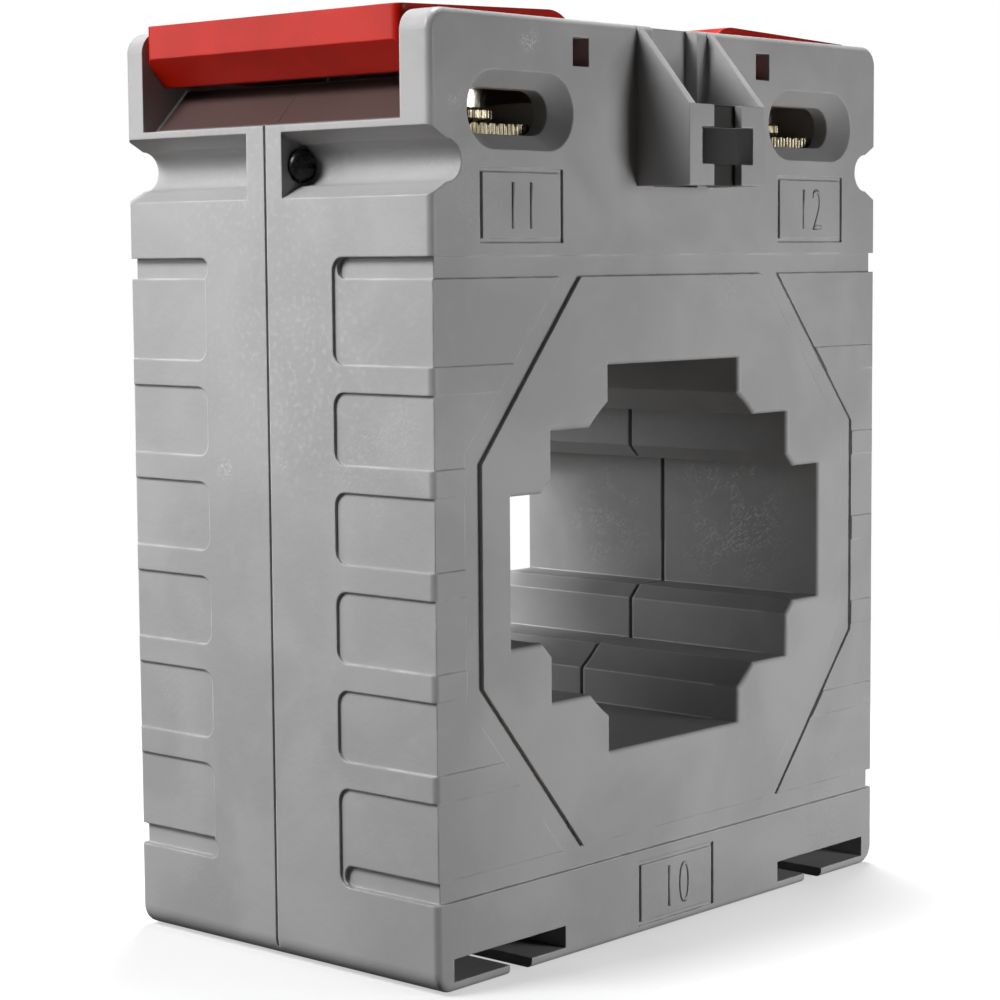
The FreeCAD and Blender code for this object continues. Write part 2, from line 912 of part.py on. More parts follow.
def clamp_screw(y):
    """Clamp screw with a rounded head and a slot with a cross."""
    shank_bottom = washer_top - screw_length
    shank = cylinder_z(entry_offset, y, screw_radius, shank_bottom, washer_top + head_root)
    ends = [edge for edge in shank.Edges if len(edge.Vertexes) == 1 and edge.BoundBox.ZMax < washer_top]
    shank = shank.makeChamfer(screw_point, ends)
    top = washer_top + head_height
    head = cylinder_z(entry_offset, y, head_radius, washer_top, top)
    rims = [edge for edge in head.Edges if len(edge.Vertexes) == 1 and edge.BoundBox.ZMin > top - 0.1]
    head = head.makeFillet(head_edge, rims)
    half_slot = head_slot_width / 2
    floor = top - head_slot_depth
    reach = head_radius + OVER
    long_slot = box(-reach, reach, -half_slot, half_slot, floor, top + OVER)
    cross_slot = box(-half_slot, half_slot, -head_cross_radius, head_cross_radius, floor, top + OVER)
    slots = long_slot.fuse(cross_slot)
    slots.rotate(Vector(0, 0, 0), Vector(0, 0, 1), head_slot_turn)
    slots.translate(Vector(entry_offset, y, 0))
    return head.fuse(shank).cut(slots)


def cover_section():
    """Side outline of the right-hand cover, from the barrel to the lip."""
    lip_x = half_width - cover_inset
    barrel_top = hinge_height + cover_barrel_radius
    lip_bottom = cover_outer_top - cover_lip_depth
    lip_inner = lip_x - cover_lip_width
    fall = (barrel_top - cover_outer_top) / (lip_x - hinge_offset)
    under_lip = barrel_top - cover_plate - fall * (lip_inner - hinge_offset)
    inner_radius = cover_barrel_radius - cover_plate
    slant = math.sqrt(0.5)

    def point(x, z):
        return Vector(x, 0, z)

    axis = point(hinge_offset, hinge_height)
    edges = [
        Part.makeLine(point(hinge_offset, barrel_top), point(lip_x, cover_outer_top)),
        Part.makeLine(point(lip_x, cover_outer_top), point(lip_x, cover_outer_top - cover_lip_height)),
        Part.makeLine(
            point(lip_x, cover_outer_top - cover_lip_height), point(lip_x - cover_undercut, lip_bottom)
        ),
        Part.makeLine(point(lip_x - cover_undercut, lip_bottom), point(lip_inner, lip_bottom)),
        Part.makeLine(point(lip_inner, lip_bottom), point(lip_inner, under_lip)),
        Part.makeLine(point(lip_inner, under_lip), point(hinge_offset, barrel_top - cover_plate)),
        Part.Arc(
            point(hinge_offset, barrel_top - cover_plate),
            axis + point(-slant * inner_radius, slant * inner_radius),
            axis + point(-inner_radius, 0),
        ).toShape(),
        Part.makeLine(axis + point(-inner_radius, 0), axis + point(-cover_barrel_radius, 0)),
        Part.Arc(
            axis + point(-cover_barrel_radius, 0),
            axis + point(-slant * cover_barrel_radius, slant * cover_barrel_radius),
            point(hinge_offset, barrel_top),
        ).toShape(),
    ]
    return Part.Wire(edges)


def terminal_cover():
    """Right-hand hinged cover with its lip, end walls and hinge pins."""
    y0 = chamber_front + cover_end_clearance
    y1 = chamber_rear - cover_end_clearance
    section = Part.Face(cover_section())
    section.translate(Vector(0, y0, 0))
    body = section.extrude(Vector(0, y1 - y0, 0))
    lip_x = half_width - cover_inset
    upright = edges_along(body, Vector(0, 0, 1), lambda middle: abs(middle.x - lip_x) < 0.01)
    body = body.makeFillet(cover_corner, upright)
    under = cover_outer_top - cover_plate / 2
    middle = cover_barrel_radius - cover_plate / 2
    wall_outline = [
        (hinge_offset - middle, hinge_height + cover_plate / 2),
        (hinge_offset - cover_plate, cover_skirt_bottom),
        (cover_skirt_end, cover_skirt_bottom),
        (cover_skirt_end + cover_skirt_flare, under),
        (hinge_offset, under),
    ]
    pin_radius = hinge_slot_width / 2 - hinge_clearance
    front_wall = prism(wall_outline, y0, y0 + cover_end_wall)
    rear_wall = prism(wall_outline, y1 - cover_end_wall, y1)
    pins = [
        cylinder_y(hinge_offset, hinge_height, pin_radius, chamber_front - pin_reach, y0 + pin_root),
        cylinder_y(hinge_offset, hinge_height, pin_radius, y1 - pin_root, chamber_rear + pin_reach),
    ]
    return body.fuse([front_wall, rear_wall] + pins)


def case_screw():
    """Right-hand screw that holds the two ribs together."""
    seat = split - rib_front
    tip = split + rib_rear + case_screw_tip
    x = case_screw_axis()
    shank = cylinder_y(x, groove_height, case_screw_radius, seat, tip)
    ends = [edge for edge in shank.Edges if len(edge.Vertexes) == 1 and edge.BoundBox.YMin > tip - 0.1]
    shank = shank.makeChamfer(case_screw_point, ends)
    crown = seat - case_screw_head_height
    head = cylinder_y(x, groove_height, case_screw_head_radius, crown, seat)
    rims = [edge for edge in head.Edges if len(edge.Vertexes) == 1 and edge.BoundBox.YMax < seat - 0.1]
    head = head.makeFillet(case_screw_head_round, rims)
    half_slot = case_screw_slot / 2
    slot = box(
        x - BIG,
        x + BIG,
        crown - OVER,
        crown + case_screw_slot_depth,
        groove_height - half_slot,
        groove_height + half_slot,
    )
    return head.fuse(shank).cut(slot)


def all_parts():
    """Every piece by its name."""
    case = whole_case()
    parts = {"front_shell": front_shell(case), "rear_shell": rear_shell(case)}
    parts.update(core_parts())
    reach = layers()[-1][2]
    parts["front_core_pad"] = core_pad(cavity_front, -reach)
    parts["rear_core_pad"] = core_pad(reach, cavity_rear)
    right_hand = {
        "lead": lead(),
        "terminal_plate": terminal_plate(),
        "terminal_cover": terminal_cover(),
        "case_screw": case_screw(),
    }
    for place, y in zip(("front", "rear"), screw_places()):
        right_hand[place + "_clamp_washer"] = clamp_washer(y)
        right_hand[place + "_clamp_screw"] = clamp_screw(y)
    for name, shape in right_hand.items():
        parts["right_" + name] = shape
        parts["left_" + name] = mirrored(shape)
    return parts


def main():
    os.makedirs("parts", exist_ok=True)
    for name, shape in all_parts().items():
        solids = shape.Solids
        whole = solids[0] if len(solids) == 1 else Part.makeCompound(solids)
        whole.exportStep("parts/" + name + ".step")
        print(name, "solids", len(solids), "valid", shape.isValid(), "volume", round(shape.Volume, 1))


main()
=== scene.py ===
"""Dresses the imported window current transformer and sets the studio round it.

Lengths are in metres in the frame of the CAD model: X to the right, Y from the front to the
rear, Z up, with the origin in the middle of the flat base.
"""

import logging
import math
from collections.abc import Iterable
from dataclasses import dataclass
from enum import Enum
from functools import reduce

import bmesh
import bpy
from mathutils import Matrix, Vector


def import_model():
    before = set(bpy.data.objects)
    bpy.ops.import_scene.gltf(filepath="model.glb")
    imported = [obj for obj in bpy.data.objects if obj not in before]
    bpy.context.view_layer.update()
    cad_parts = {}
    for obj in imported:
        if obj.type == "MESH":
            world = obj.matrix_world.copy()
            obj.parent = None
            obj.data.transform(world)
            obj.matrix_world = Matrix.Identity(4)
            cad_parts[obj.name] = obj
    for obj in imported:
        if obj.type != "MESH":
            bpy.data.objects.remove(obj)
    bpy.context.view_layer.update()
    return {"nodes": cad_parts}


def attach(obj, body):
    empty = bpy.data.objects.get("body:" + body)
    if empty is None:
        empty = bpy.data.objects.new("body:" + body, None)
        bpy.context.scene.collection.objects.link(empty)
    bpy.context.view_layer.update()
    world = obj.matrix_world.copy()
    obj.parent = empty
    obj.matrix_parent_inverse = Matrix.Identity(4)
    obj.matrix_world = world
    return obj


LOG = logging.getLogger("transformer")

Socket = bpy.types.NodeSocket
Number = float | Socket
Colour = tuple[float, float, float]
Point = tuple[float, float, float]
Band = tuple[float, float]

MM = 0.001
ZERO: Point = (0.0, 0.0, 0.0)
UNSTRETCHED: Point = (1.0, 1.0, 1.0)
WHITE = (1.0, 1.0, 1.0, 1.0)

# Places that the CAD model gives.
WINDOW_CENTRE: Point = (0.0, 0.0, 46.7 * MM)
FRONT_FACE = -25.4 * MM
LEFT_FACE = -43.3 * MM
CLAMP_OFFSET = 28.2 * MM
CLAMP_PLACES = (-14.7 * MM, 16.0 * MM)

# Length of the waves of a wave texture whose scale is 1.
WAVE_LENGTH = 0.314
# Sockets of a Mix node that carry its colours.
MIX_FIRST, MIX_SECOND, MIX_RESULT = 6, 7, 2
# Cosine between a face and its rounded normal, on a flat place and on an edge.
EDGE_BAND: Band = (0.995, 0.90)
EDGE_SAMPLES = 6


class Side(Enum):
    """Left or right half of the transformer, as seen from the front."""

    LEFT = "left"
    RIGHT = "right"


class End(Enum):
    """Front or rear end of a terminal."""

    FRONT = "front"
    REAR = "rear"


class Slot(Enum):
    """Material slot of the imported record."""

    CASE = "moulded_grey"
    COVER = "cover_red"
    TERMINAL = "terminal_metal"
    CLAMP_SCREW = "screw_metal"
    CASE_SCREW = "black_steel"
    CORE = "core_steel"
    CORE_TAPE = "core_tape"
    WINDING = "winding_wire"
    WINDING_TAPE = "winding_tape"
    PAD = "foam_pad"
    LEAD = "lead_sleeve"


@dataclass(frozen=True)
class Pattern:
    """Size of the patches or waves of a pattern, its finer layers and its distortion."""

    size: float
    detail: float = 2.0
    warp: float = 0.0


@dataclass(frozen=True)
class Scratches:
    """Fine straight scratches in a few directions, gathered in patches.

    A patch starts where its own pattern passes the level, from 0 to 1, and fades in from there.
    """

    length: float
    width: float
    patch: float
    level: float
    fade: float = 0.12
    band: Band = (0.62, 0.76)
    turns: tuple[Point, ...] = ((0.6, 0.3, 0.0), (-0.8, 0.2, 0.4), (1.9, -0.3, 0.2))


@dataclass(frozen=True)
class Spot:
    """Round spot: its centre, its radius, how strongly it shows and how much of it is full."""

    centre: Point
    radius: float
    share: float = 1.0
    core: float = 0.25


@dataclass(frozen=True)
class Block:
    """Two corners of a block on the right, which has a mirror image, and its soft border."""

    low: Point
    high: Point
    fade: float


class NodeGraph:
    """Node tree, with short calls for the steps that the finishes and the world share."""

    def __init__(self, tree: bpy.types.NodeTree) -> None:
        """Keeps the tree that the calls add nodes to."""
        self.tree = tree

    def add(self, kind: str, sockets: dict, **settings: object) -> bpy.types.Node:
        """Adds a node and fills its sockets.

        Args:
            kind: Kind of shader node, without its common prefix.
            sockets: Value or source of each socket, by name or number.
            settings: Properties of the node.

        Returns:
            The new node.
        """
        node = self.tree.nodes.new("ShaderNode" + kind)
        for key, value in settings.items():
            setattr(node, key, value)
        for key, value in sockets.items():
            self.feed(node.inputs[key], value)
        return node

    def feed(self, socket: Socket, value: object) -> None:
        """Links a source to a socket, or sets the socket's own value.

        Args:
            socket: Socket that takes the value.
            value: Source socket, number or tuple.
        """
        if isinstance(value, Socket):
            self.tree.links.new(value, socket)
        else:
            socket.default_value = value

    def calc(self, operation: str, first: Number, second: Number = 0.0) -> Socket:
        """Takes one step of arithmetic, by its name in the Math node."""
        return self.add("Math", {0: first, 1: second}, operation=operation).outputs[0]

    def merge(self, operation: str, values: Iterable[Socket]) -> Socket:
        """Joins several values by the same step of arithmetic."""
        return reduce(lambda total, value: self.calc(operation, total, value), values)

    def span(self, value: Socket, band: Band, onto: Band = (0.0, 1.0)) -> Socket:
        """Stretches a band of values over another one, and holds the rest at its ends.

        Args:
            value: Values to stretch.
            band: The two values that become the ends of the new band.
            onto: The new band.

        Returns:
            The new values.
        """
        names = ("From Min", "From Max", "To Min", "To Max")
        sockets = {"Value": value, **dict(zip(names, (*band, *onto)))}
        return self.add("MapRange", sockets, interpolation_type="SMOOTHSTEP").outputs[0]


class Sheet(NodeGraph):
    """Node tree of one finish, with its shader and the patterns that finishes use."""

    def __init__(self, name: str) -> None:
        """Starts a material with its shader and the object's own coordinates.

        Args:
            name: Name of the material.
        """
        self.material = bpy.data.materials.new(name)
        self.material.use_nodes = True
        super().__init__(self.material.node_tree)
        self.shader = self.tree.nodes["Principled BSDF"]
        self.place = self.add("TexCoord", {}).outputs["Object"]

    def dress(self, **sockets: object) -> None:
        """Fills sockets of the shader, named with underscores for their spaces."""
        for key, value in sockets.items():
            self.feed(self.shader.inputs[key.replace("_", " ")], value)

    def stretched(
        self, scale: Point = UNSTRETCHED, turn: Point = ZERO, centre: Point = ZERO
    ) -> Socket:
        """Measures object coordinates from a centre, turned and stretched.

        Args:
            scale: Factor along each axis.
            turn: Turn about each axis in radians.
            centre: Point that becomes the origin.

        Returns:
            The coordinates.
        """
        moved = self.add("VectorMath", {0: self.place, 1: centre}, operation="SUBTRACT")
        turned = self.add("Mapping", {"Vector": moved.outputs[0], "Rotation": turn})
        scaled = self.add("VectorMath", {0: turned.outputs[0], 1: scale}, operation="MULTIPLY")
        return scaled.outputs[0]

    def noise(self, pattern: Pattern, place: Socket | None = None) -> Socket:
        """Makes cloudy values from 0 to 1.

        Args:
            pattern: Size and character of the clouds.
            place: Coordinates, or none for the object's own.

        Returns:
            The values.
        """
        sockets = {
            "Vector": self.place if place is None else place,
            "Scale": 1.0 / pattern.size,
            "Detail": pattern.detail,
            "Distortion": pattern.warp,
        }
        return self.add("TexNoise", sockets).outputs[0]

    def wave(self, pattern: Pattern, place: Socket, **settings: object) -> Socket:
        """Makes waves from 0 to 1.

        Args:
            pattern: Length and character of the waves.
            place: Coordinates.
            settings: Properties of the texture.

        Returns:
            The values.
        """
        sockets = {
            "Vector": place,
            "Scale": WAVE_LENGTH / pattern.size,
            "Detail": pattern.detail,
            "Distortion": pattern.warp,
        }
        return self.add("TexWave", sockets, **settings).outputs[1]

    def blend(self, share: Number, first: Colour | Socket, second: Colour | Socket) -> Socket:
        """Mixes two colours.

        Args:
            share: Share of the second colour.
            first: First colour.
            second: Second colour.

        Returns:
            The mixed colour.
        """
        one, two = [(*c, 1.0) if isinstance(c, tuple) else c for c in (first, second)]
        sockets = {0: share, MIX_FIRST: one, MIX_SECOND: two}
        return self.add("Mix", sockets, data_type="RGBA").outputs[MIX_RESULT]

    def relief(self, height: Socket, depth: float, below: Socket | None = None) -> Socket:
        """Turns heights into shaded relief.

        Args:
            height: Heights from 0 to 1.
            depth: Height of 1 in metres.
            below: Normal to start from, or none for the surface's own.

        Returns:
            The new normal.
        """
        sockets = {"Height": height, "Distance": depth, "Strength": 1.0}
        if below is not None:
            sockets["Normal"] = below
        return self.add("Bump", sockets).outputs[0]

    def soft_edges(self, radius: float) -> Socket:
        """Normal that rounds sharp edges by a small radius in metres."""
        return self.add("Bevel", {"Radius": radius}, samples=EDGE_SAMPLES).outputs[0]

    def edge_mask(self, rounded: Socket) -> Socket:
        """Makes a mask that is 1 on sharp edges and 0 on flat places.

        Args:
            rounded: Normal with rounded edges.

        Returns:
            The mask.
        """
        plain = self.add("NewGeometry", {}).outputs["Normal"]
        cosine = self.add("VectorMath", {0: plain, 1: rounded}, operation="DOT_PRODUCT")
        return self.span(cosine.outputs["Value"], EDGE_BAND)

    def near(self, spot: Spot) -> Socket:
        """Makes a mask that is full at a spot's centre and fades out at its radius.

        Args:
            spot: The spot.

        Returns:
            The mask.
        """
        away = self.add("VectorMath", {0: self.place, 1: spot.centre}, operation="DISTANCE")
        full = self.span(away.outputs["Value"], (spot.radius, spot.radius * spot.core))
        return self.calc("MULTIPLY", full, spot.share)

    def between(self, value: Socket, ends: Band, fade: float) -> Socket:
        """Makes a mask that is 1 between two values.

        Args:
            value: Values to look at.
            ends: The two values.
            fade: Width of the soft border inside them.

        Returns:
            The mask.
        """
        low, high = ends
        rise = self.span(value, (low, low + fade))
        fall = self.span(value, (high, high - fade))
        return self.calc("MULTIPLY", rise, fall)

    def inside(self, block: Block) -> Socket:
        """Makes a mask that is 1 inside a block on both sides of the middle plane.

        Args:
            block: The right-hand block.

        Returns:
            The mask.
        """
        across, along, above = self.add("SeparateXYZ", {0: self.place}).outputs
        values = (self.calc("ABSOLUTE", across), along, above)
        rows = zip(values, zip(block.low, block.high))
        return self.merge("MULTIPLY", (self.between(*row, block.fade) for row in rows))

    def scratches(self, marks: Scratches) -> Socket:
        """Makes a mask that is 1 on scratches.

        Args:
            marks: The scratches.

        Returns:
            The mask.
        """
        lines = []
        for turn in marks.turns:
            place = self.stretched((1.0, 1.0, marks.width / marks.length), turn)
            streaks = self.noise(Pattern(marks.width * 2, detail=0.0), place)
            lines.append(self.span(streaks, marks.band))
        patches = self.noise(Pattern(marks.patch, detail=3.0))
        gathered = self.span(patches, (marks.level, marks.level + marks.fade))
        return self.calc("MULTIPLY", self.merge("MAXIMUM", lines), gathered)


@dataclass(frozen=True)
class Wear:
    """Scratched faces and rubbed edges of a moulded piece."""

    scratches: Scratches
    scratch_share: float
    rub: Pattern
    rub_band: Band
    rub_shares: Band

    def mask(self, sheet: Sheet, edges: Socket) -> Socket:
        """Makes a mask that is 1 where the surface is worn.

        Args:
            sheet: Finish that is being built.
            edges: Mask of the sharp edges.

        Returns:
            The mask.
        """
        marks = sheet.calc("MULTIPLY", sheet.scratches(self.scratches), self.scratch_share)
        shares = sheet.span(sheet.noise(self.rub), self.rub_band, self.rub_shares)
        return sheet.calc("MAXIMUM", marks, sheet.calc("MULTIPLY", edges, shares))


class Finish:
    """Recipe for the material of one slot."""

    slot: Slot

    def make(self) -> bpy.types.Material:
        """Builds the material, named after its slot.

        Returns:
            The material.
        """
        sheet = Sheet(self.slot.value)
        self.paint(sheet)
        return sheet.material

    def paint(self, sheet: Sheet) -> None:
        """Fills the shader of a sheet, in each finish's own way."""
        raise NotImplementedError


@dataclass(frozen=True)
class MouldedPlastic(Finish):
    """Satin glass-filled plastic of the case.

    It has a fine moulded grain, cloudy flow marks, light scratches, rubbed edges and chalky
    spots. It has painted shade, with a painted red reflection of the cover, in the recesses
    under the covers, painted shade in the slit of the bracket, and a painted highlight on
    the edges of the window's sill.
    """

    slot: Slot = Slot.CASE
    colour: Colour = (0.312, 0.310, 0.315)
    cloud: Colour = (0.358, 0.354, 0.357)
    scuff: Colour = (0.56, 0.55, 0.53)
    flow: Pattern = Pattern(16 * MM, detail=3.0, warp=0.6)
    flow_band: Band = (0.35, 0.68)
    smoke: Pattern = Pattern(3.2 * MM)
    smoke_band: Band = (0.52, 0.78)
    smoke_share: float = 0.35
    wear: Wear = Wear(
        scratches=Scratches(5 * MM, 0.09 * MM, patch=24 * MM, level=0.60),
        scratch_share=0.22,
        rub=Pattern(5 * MM, detail=3.0),
        rub_band=(0.42, 0.65),
        rub_shares=(0.15, 0.8),
    )
    strokes: Scratches = Scratches(1.8 * MM, 0.11 * MM, patch=3.5 * MM, level=0.42)
    rubbed_spots: tuple[Spot, ...] = (
        Spot((30.3 * MM, -11.0 * MM, 48.0 * MM), 13 * MM, 0.90),
        Spot((30.3 * MM, 10.0 * MM, 46.0 * MM), 10 * MM, 0.45),
        Spot((-26.7 * MM, FRONT_FACE, 107.4 * MM), 2.3 * MM),
        Spot((-39.2 * MM, FRONT_FACE, 100.5 * MM), 2.0 * MM, 0.60),
        Spot((LEFT_FACE, 8.6 * MM, 57.8 * MM), 2.0 * MM, 0.60),
        Spot((LEFT_FACE, -0.9 * MM, 58.8 * MM), 1.6 * MM, 0.50),
    )
    flecks: Pattern = Pattern(0.8 * MM, detail=4.0)
    fleck_band: Band = (0.48, 0.75)
    fleck_share: float = 0.26
    mottled_spots: tuple[Spot, ...] = (
        Spot((LEFT_FACE, -3.0 * MM, 70.0 * MM), 20 * MM),
        Spot((LEFT_FACE, 2.0 * MM, 92.0 * MM), 22 * MM, 0.6),
    )
    # Painted shade, tinted by a painted red reflection of the cover, in the recess under each
    # cover.
    painted_recess_shade: Colour = (0.062, 0.035, 0.032)
    recess: Block = Block(
        (36.2 * MM, -20.7 * MM, 97.9 * MM), (42.6 * MM, 22.0 * MM, 103.6 * MM), 0.5 * MM
    )
    # Painted shade on the floor of the slit in the bracket's bar.
    painted_slit_shade: Colour = (0.030, 0.030, 0.028)
    slit: Block = Block(
        (-1 * MM, -32.4 * MM, 90.9 * MM), (2.8 * MM, -31.6 * MM, 100.7 * MM), 0.1 * MM
    )
    # Painted highlight: near-white colour on the edges in the lower half of the window.
    bare_and_highlight: Colour = (0.80, 0.79, 0.76)
    sill: Block = Block((-1 * MM, -22 * MM, 22 * MM), (31.4 * MM, 24 * MM, 44 * MM), 1.0 * MM)
    gloss_band: Band = (0.3, 0.7)
    roughness: Band = (0.37, 0.47)
    worn_roughness: float = 0.12
    specular: float = 0.32
    edge_radius: float = 0.30 * MM
    smoke_depth: float = 0.018 * MM
    swell: Pattern = Pattern(1.1 * MM, detail=3.0)
    swell_depth: float = 0.030 * MM
    grain: Pattern = Pattern(0.35 * MM)
    grain_depth: float = 0.012 * MM

    def paint(self, sheet: Sheet) -> None:
        """Paints the plastic, its wear, its painted shade and highlight, and its relief.

        Args:
            sheet: Material to fill.
        """
        rounded = sheet.soft_edges(self.edge_radius)
        edges = sheet.edge_mask(rounded)
        flow = sheet.noise(self.flow)
        smoke = sheet.noise(self.smoke)
        wear = sheet.calc("MAXIMUM", self.wear.mask(sheet, edges), self.add_chalk(sheet))
        haze = sheet.span(smoke, self.smoke_band, (0.0, self.smoke_share))
        sill = sheet.calc("MULTIPLY", edges, sheet.inside(self.sill))
        base = sheet.blend(sheet.span(flow, self.flow_band), self.colour, self.cloud)
        base = sheet.blend(haze, base, self.cloud)
        base = sheet.blend(wear, base, self.scuff)
        # Painted shade with a painted red reflection of the cover in the recesses under the
        # covers.
        base = sheet.blend(sheet.inside(self.recess), base, self.painted_recess_shade)
        # Painted shade on the floor of the slit in the bracket.
        base = sheet.blend(sheet.inside(self.slit), base, self.painted_slit_shade)
        # Painted highlight along the edges in the lower half of the window.
        base = sheet.blend(sill, base, self.bare_and_highlight)
        gloss = sheet.span(flow, self.gloss_band, self.roughness)
        worn = sheet.calc("MULTIPLY", wear, self.worn_roughness)
        normal = sheet.relief(smoke, self.smoke_depth, rounded)
        normal = sheet.relief(sheet.noise(self.swell), self.swell_depth, normal)
        normal = sheet.relief(sheet.noise(self.grain), self.grain_depth, normal)
        sheet.dress(
            Base_Color=base,
            Roughness=sheet.calc("ADD", gloss, worn),
            Normal=normal,
            Specular_IOR_Level=self.specular,
        )

    def add_chalk(self, sheet: Sheet) -> Socket:
        """Adds chalky rubbed spots of short strokes, and finer whitish mottling on the left.

        Args:
            sheet: Finish that is being built.

        Returns:
            Mask that is 1 on the marks.
        """
        strokes = sheet.scratches(self.strokes)
        rubbed = sheet.merge("MAXIMUM", map(sheet.near, self.rubbed_spots))
        flecks = sheet.span(sheet.noise(self.flecks), self.fleck_band, (0.0, self.fleck_share))
        mottled = sheet.merge("MAXIMUM", map(sheet.near, self.mottled_spots))
        chalk = sheet.calc("MULTIPLY", strokes, rubbed)
        return sheet.calc("MAXIMUM", chalk, sheet.calc("MULTIPLY", flecks, mottled))


@dataclass(frozen=True)
class CoverPlastic(Finish):
    """Red cover plastic, smoother than the case, with a soft orange-peel surface."""

    slot: Slot = Slot.COVER
    colour: Colour = (0.43, 0.0090, 0.0020)
    deep: Colour = (0.35, 0.0070, 0.0018)
    scuff: Colour = (0.52, 0.13, 0.09)
    flow: Pattern = Pattern(9 * MM, detail=3.0, warp=0.4)
    flow_band: Band = (0.35, 0.7)
    wear: Wear = Wear(
        scratches=Scratches(4 * MM, 0.12 * MM, patch=16 * MM, level=0.56),
        scratch_share=0.4,
        rub=Pattern(4 * MM, detail=3.0),
        rub_band=(0.42, 0.7),
        rub_shares=(0.1, 0.55),
    )
    roughness: float = 0.31
    roughness_range: float = 0.08
    specular: float = 0.20
    edge_radius: float = 0.25 * MM
    peel: Pattern = Pattern(0.7 * MM, detail=1.0)
    peel_depth: float = 0.008 * MM

    def paint(self, sheet: Sheet) -> None:
        """Paints the plastic, its wear and its relief.

        Args:
            sheet: Material to fill.
        """
        rounded = sheet.soft_edges(self.edge_radius)
        wear = self.wear.mask(sheet, sheet.edge_mask(rounded))
        flow = sheet.noise(self.flow)
        base = sheet.blend(sheet.span(flow, self.flow_band), self.colour, self.deep)
        gloss = sheet.calc("MULTIPLY", flow, self.roughness_range)
        sheet.dress(
            Base_Color=sheet.blend(wear, base, self.scuff),
            Roughness=sheet.calc("ADD", gloss, self.roughness),
            Normal=sheet.relief(sheet.noise(self.peel), self.peel_depth, rounded),
            Specular_IOR_Level=self.specular,
        )


@dataclass(frozen=True)
class PlatedMetal(Finish):
    """Plated metal with fine turning lines and stains, and with a knurl or a screw thread.

    A knurl spacing or a thread pitch of 0 leaves that relief out.
    """

    slot: Slot
    colour: Colour
    stain: Colour
    roughness: Band
    knurl: float = 0.0
    pitch: float = 0.0
    tarnish: Pattern = Pattern(2.4 * MM, detail=4.0, warp=0.5)
    tarnish_band: Band = (0.45, 0.75)
    gloss_band: Band = (0.3, 0.75)
    edge_radius: float = 0.12 * MM
    lines: Pattern = Pattern(0.5 * MM)
    line_stretch: Point = (1.0, 1.0, 9.0)
    line_depth: float = 0.006 * MM
    knurl_turns: tuple[float, float] = (0.6, -0.6)
    knurl_depth: float = 0.15 * MM
    thread_depth: float = 0.9 * MM
    shank_border: Band = (2.60 * MM, 2.55 * MM)

    def paint(self, sheet: Sheet) -> None:
        """Paints the metal and its stains, and presses its relief.

        Args:
            sheet: Material to fill.
        """
        rounded = sheet.soft_edges(self.edge_radius)
        tarnish = sheet.noise(self.tarnish)
        stained = sheet.span(tarnish, self.tarnish_band)
        lines = sheet.noise(self.lines, sheet.stretched(self.line_stretch))
        normal = sheet.relief(lines, self.line_depth, rounded)
        if self.knurl:
            normal = self.add_knurl(sheet, normal)
        if self.pitch:
            normal = self.add_thread(sheet, normal)
        sheet.dress(
            Base_Color=sheet.blend(stained, self.colour, self.stain),
            Metallic=1.0,
            Roughness=sheet.span(tarnish, self.gloss_band, self.roughness),
            Normal=normal,
        )

    def add_knurl(self, sheet: Sheet, below: Socket) -> Socket:
        """Adds crossed rows of small points pressed into the metal.

        Args:
            sheet: Finish that is being built.
            below: Normal under the rows.

        Returns:
            The normal with the rows.
        """
        rows = (
            sheet.wave(Pattern(self.knurl), sheet.stretched(turn=(0.0, 0.0, turn)))
            for turn in self.knurl_turns
        )
        return sheet.relief(sheet.merge("MULTIPLY", rows), self.knurl_depth, below)

    def add_thread(self, sheet: Sheet, below: Socket) -> Socket:
        """Adds a thread round the shank of each clamp screw.

        Args:
            sheet: Finish that is being built.
            below: Normal under the thread.

        Returns:
            The normal with the thread.
        """
        x, y, z = sheet.add("SeparateXYZ", {0: sheet.place}).outputs
        front, rear = CLAMP_PLACES
        across = sheet.calc("SUBTRACT", sheet.calc("ABSOLUTE", x), CLAMP_OFFSET)
        behind = sheet.calc("GREATER_THAN", y, (front + rear) / 2)
        middle = sheet.calc("ADD", sheet.calc("MULTIPLY", behind, rear - front), front)
        along = sheet.calc("SUBTRACT", y, middle)
        angle = sheet.calc("DIVIDE", sheet.calc("ARCTAN2", along, across), math.tau)
        climb = sheet.calc("ADD", angle, sheet.calc("DIVIDE", z, self.pitch))
        turn = sheet.calc("FRACT", climb)
        tooth = sheet.calc("ABSOLUTE", sheet.calc("SUBTRACT", turn, 0.5))
        spot = sheet.add("CombineXYZ", {0: across, 1: along}).outputs[0]
        away = sheet.add("VectorMath", {0: spot}, operation="LENGTH").outputs["Value"]
        height = sheet.calc("MULTIPLY", tooth, sheet.span(away, self.shank_border))
        return sheet.relief(height, self.thread_depth, below)


@dataclass(frozen=True)
class BlackOxide(Finish):
    """Black oxide on steel, with brighter worn edges."""

    slot: Slot = Slot.CASE_SCREW
    colour: Colour = (0.010, 0.010, 0.011)
    bare_and_highlight: Colour = (0.16, 0.155, 0.15)
    cloud: Pattern = Pattern(1.6 * MM, detail=3.0)
    wear_band: Band = (0.5, 0.7)
    wear_share: float = 0.5
    gloss_band: Band = (0.3, 0.7)
    roughness: Band = (0.24, 0.38)
    metallic: float = 0.35
    edge_radius: float = 0.12 * MM
    grain: Pattern = Pattern(0.2 * MM)
    grain_depth: float = 0.004 * MM

    def paint(self, sheet: Sheet) -> None:
        """Paints the oxide and its worn edges.

        Args:
            sheet: Material to fill.
        """
        rounded = sheet.soft_edges(self.edge_radius)
        cloud = sheet.noise(self.cloud)
        shares = sheet.span(cloud, self.wear_band, (0.0, self.wear_share))
        wear = sheet.calc("MULTIPLY", sheet.edge_mask(rounded), shares)
        sheet.dress(
            Base_Color=sheet.blend(wear, self.colour, self.bare_and_highlight),
            Metallic=self.metallic,
            Roughness=sheet.span(cloud, self.gloss_band, self.roughness),
            Normal=sheet.relief(sheet.noise(self.grain), self.grain_depth, rounded),
        )


